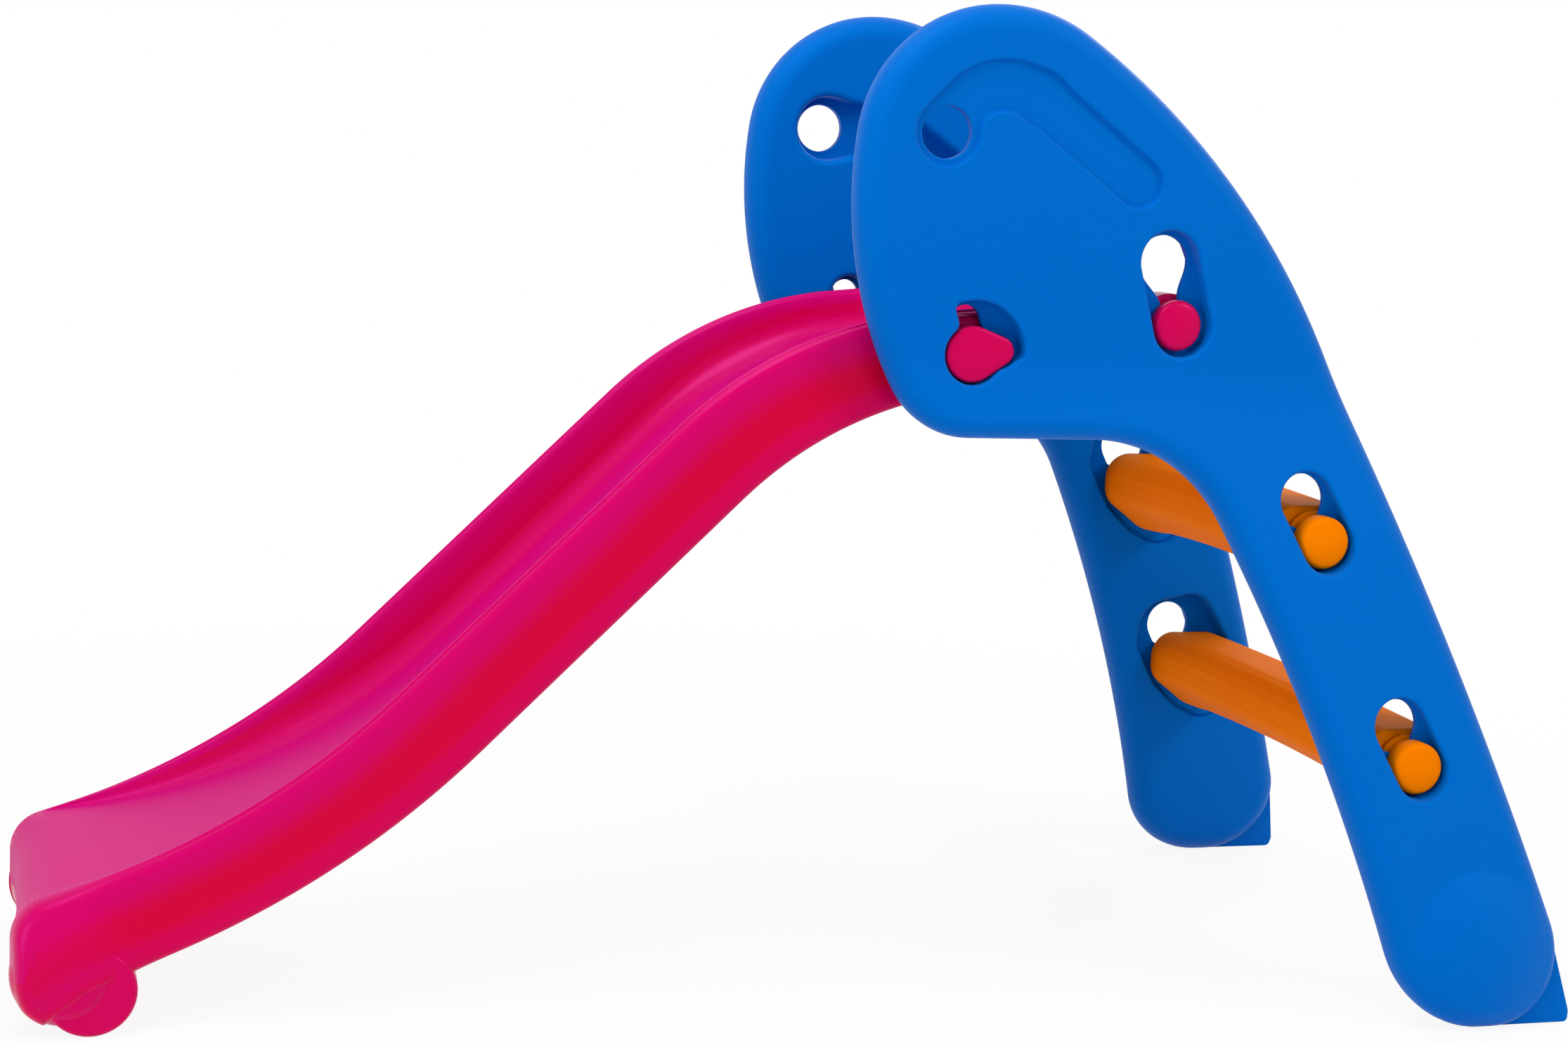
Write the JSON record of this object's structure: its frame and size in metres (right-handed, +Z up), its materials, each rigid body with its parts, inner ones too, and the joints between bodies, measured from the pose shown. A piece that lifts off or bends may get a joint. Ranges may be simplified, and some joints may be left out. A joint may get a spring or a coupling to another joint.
{
  "type": "toddler slide",
  "caption": "Free-standing toddler slide: flared hollow side panels carry a keyed chute that folds about its front knobs and lift-out ladder steps.",
  "frame": {"origin": "on the ground, under the middle of the whole slide", "axes": "+X from the chute's foot to the ladder, +Y across the slide, +Z up"},
  "size_m": [1.3896, 0.667, 0.8998],
  "materials": {
    "blue_panel": "fine pebble grain, satin",
    "pink_chute": "smooth satin gloss",
    "orange_step": "ribbed, satin"
  },
  "bodies": {
    "frame": {"near_side_panel": "blue_panel", "far_side_panel": "blue_panel"},
    "chute": {"chute": "pink_chute"},
    "upper_step": {"upper_step": "orange_step"},
    "lower_step": {"lower_step": "orange_step"}
  },
  "joints": [
    {"name": "chute_fold", "type": "hinge", "parent": "frame", "child": "chute", "pos_m": [0.11578, 0, 0.596], "axis": [0, -1, 0], "range_deg": [0, 17.5]},
    {"name": "upper_step_lift", "type": "slide", "parent": "frame", "child": "upper_step", "axis": [-0.4695, 0, 0.8829], "range_m": [0, 0.042]},
    {"name": "lower_step_lift", "type": "slide", "parent": "frame", "child": "lower_step", "axis": [-0.4695, 0, 0.8829], "range_m": [0, 0.042]}
  ]
}
